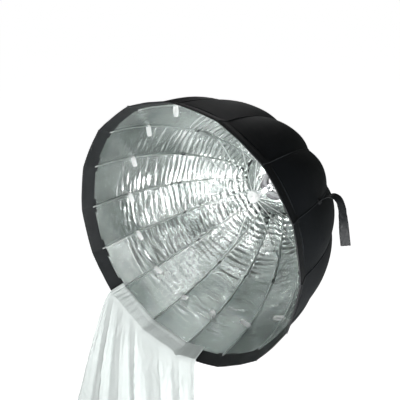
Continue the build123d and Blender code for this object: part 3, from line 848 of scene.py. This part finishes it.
def hangingPoint(sideShare, top, share):
    # a point of the hanging part: sideShare runs 0 to 1 over the width, share 0 to 1 from the lip down
    ends = abs(2 * sideShare - 1) ** 2.6
    low = front["low"] + 0.20 * ends
    shift = 0.045 * wave(sideShare * 2.6, share * 1.3, 400) * share
    spread = front["left"] + (front["right"] - front["left"]) * sideShare
    x = top[0] + (spread - top[0]) * (share ** 0.82) + shift
    z = top[2] + (low - top[2]) * share
    down = top[2] - z
    size = front["depth"] * (0.10 + 0.90 * smoothStep(down, 0.0, 0.42)) * smoothStep(down, -0.02, 0.05)
    phase = 2 * math.pi * front["folds"] * (sideShare + 0.075 * wave(sideShare * 3.2, share * 1.1 + 0.4, 410))
    strength = 0.62 + 0.85 * wave(sideShare * 5.1, share * 0.9, 420)
    ridge = 1 - 2 * abs(math.sin(phase / 2)) ** 0.75  # sharp outward ridges with broad hollows
    fold = -ridge + 0.22 * math.sin(2 * phase + 1.1 + 2 * share) + 0.18 * wave(sideShare * 46, share * 4, 430)
    fold = max(-1.0, min(1.0, -fold * strength))
    crumple = 0.0034 * wave(sideShare * 24, share * 13, 440) * smoothStep(down, 0.0, 0.1)
    lean = 0.45 * size * math.cos(phase) * strength
    return np.array([x + lean, -lip["frontAhead"] - front["stand"] - size * (1 + fold) - abs(crumple), z])


def frontCloth():
    grid, marks = [], []
    for row in range(front["lipRows"] + front["rows"] + 1):
        line, mark = [], []
        for column in range(front["columns"] + 1):
            sideShare = column / front["columns"]
            number = front["from"] + (front["to"] - front["from"]) * sideShare ** front["fan"]
            edge = rimPoint(number, lip["frontRadius"] - front["inside"], lip["frontAhead"] + front["clear"])
            if row <= front["lipRows"]:
                share = row / front["lipRows"]
                radius = front["tuckRadius"] + (lip["frontRadius"] - front["inside"] - front["tuckRadius"]) * share
                ahead = (ribs["rimAhead"] - front["tuckBehind"]
                         + (lip["frontAhead"] + front["clear"] - ribs["rimAhead"] + front["tuckBehind"]) * share)
                crown = 4 * (number % 1) * (1 - number % 1)
                ripple = 0.0016 * wave(sideShare * 34, share * 1.4, 450) - 0.0012
                peak = 0.010 * math.exp(-((number - 7) / 0.05) ** 2)
                peak += 0.008 * math.exp(-((number - 9) / 0.06) ** 2)
                spot = (rimPoint(number, radius, ahead) + spoke(number) * (ripple - 0.0006 * crown)
                        - np.array([0, peak * share, 0]))
            else:
                share = (row - front["lipRows"]) / front["rows"]
                spot = hangingPoint(sideShare, edge, share)
                settle = smoothStep(share, 0.0, front["settle"])
                bow = math.sin(math.pi * min(1.0, share / front["settle"]))
                start = edge + spoke(number) * 0.004 * bow * (1 - settle)
                spot = start * (1 - settle) + spot * settle
            line.append(spot)
            mark.append((sideShare * 0.88, row / (front["lipRows"] + front["rows"]) * 0.89))
        grid.append(line)
        marks.append(mark)
    grid = np.array(grid)
    normal = np.cross(np.gradient(grid, axis=0), np.gradient(grid, axis=1))
    normal /= np.linalg.norm(normal, axis=2)[:, :, None]
    rows, columns = np.meshgrid(np.arange(grid.shape[0]), np.arange(grid.shape[1]), indexing="ij")
    border = np.minimum(np.minimum(rows, grid.shape[0] - 1 - rows) / 3,
                        np.minimum(columns, grid.shape[1] - 1 - columns) / 4)
    half = front["thickness"] / 2 + front["hem"] * (border <= 1) * (border > 0.2)
    return closedSheet("front_cloth", grid - normal * half[:, :, None], grid + normal * half[:, :, None],
                       np.array(marks), (paints["white"], paints["white"]))


piece = frontCloth()
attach(piece, "front_diffuser")
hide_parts("front_diffuser")
tuple(place(8, 0.450, 0.671))
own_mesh(piece)
print("front cloth made")

# ---- floor and light ----
stage = {"floor": -1.32, "size": 90.0, "softLight": 0.035, "backdrop": 1.0}
bpy.ops.mesh.primitive_plane_add(size=stage["size"], location=(0, 0, stage["floor"]))
floor = bpy.context.object
floor.name = "floor"
floorPaint = Paint("floorPaint")
seenDirectly = floorPaint.add("ShaderNodeLightPath")
floorPaint.set(Base_Color=(0.9, 0.9, 0.9, 1), Roughness=0.9, Emission_Strength=1.0)
floorPaint.set(Emission_Color=floorPaint.mix(seenDirectly, (0.05, 0.055, 0.054, 1), (0.97, 0.97, 0.97, 1)))
floor.data.materials.append(floorPaint.material)

world = bpy.data.worlds.new("studio")
bpy.context.scene.world = world
world.use_nodes = True
nodes, links = world.node_tree.nodes, world.node_tree.links
nodes.clear()
output = nodes.new("ShaderNodeOutputWorld")
choose = nodes.new("ShaderNodeMixShader")
rays = nodes.new("ShaderNodeLightPath")
soft = nodes.new("ShaderNodeBackground")
seen = nodes.new("ShaderNodeBackground")
soft.inputs["Color"].default_value = (0.93, 0.97, 0.96, 1)
soft.inputs["Strength"].default_value = stage["softLight"]
seen.inputs["Color"].default_value = (1, 1, 1, 1)
seen.inputs["Strength"].default_value = stage["backdrop"]
links.new(rays.outputs["Is Camera Ray"], choose.inputs["Fac"])
links.new(soft.outputs[0], choose.inputs[1])
links.new(seen.outputs[0], choose.inputs[2])
links.new(choose.outputs[0], output.inputs["Surface"])

lights = [
    {"name": "key", "kind": "AREA", "energy": 105, "size": 0.5, "place": (1.8, -2.7, -0.7), "aim": (0, -0.4, 0)},
    {"name": "side", "kind": "AREA", "energy": 9, "size": 0.5, "place": (-2.2, -2.6, 1.1), "aim": (0, -0.4, 0)},
    {"name": "top", "kind": "AREA", "energy": 30, "size": 0.6, "place": (0.3, -2.9, 2.4), "aim": (0, -0.4, 0)},
    {"name": "back", "kind": "AREA", "energy": 5, "size": 1.5, "place": (-1.4, 2.6, 1.6), "aim": (0, -0.3, 0)},
    {"name": "lamp", "kind": "POINT", "energy": 1.7, "size": 0.03, "place": (0, -0.085, 0), "aim": (0, -1, 0)},
]
for plan in lights:
    data = bpy.data.lights.new(plan["name"], plan["kind"])
    data.energy = plan["energy"]
    if plan["kind"] == "AREA":
        data.size = plan["size"]
    else:
        data.shadow_soft_size = plan["size"]
    lamp = bpy.data.objects.new(plan["name"], data)
    bpy.context.scene.collection.objects.link(lamp)
    lamp.location = plan["place"]
    lamp.rotation_euler = (Vector(plan["aim"]) - Vector(plan["place"])).to_track_quat("-Z", "Y").to_euler()
bpy.context.scene.view_settings.view_transform = "Standard"
print("stage lit")
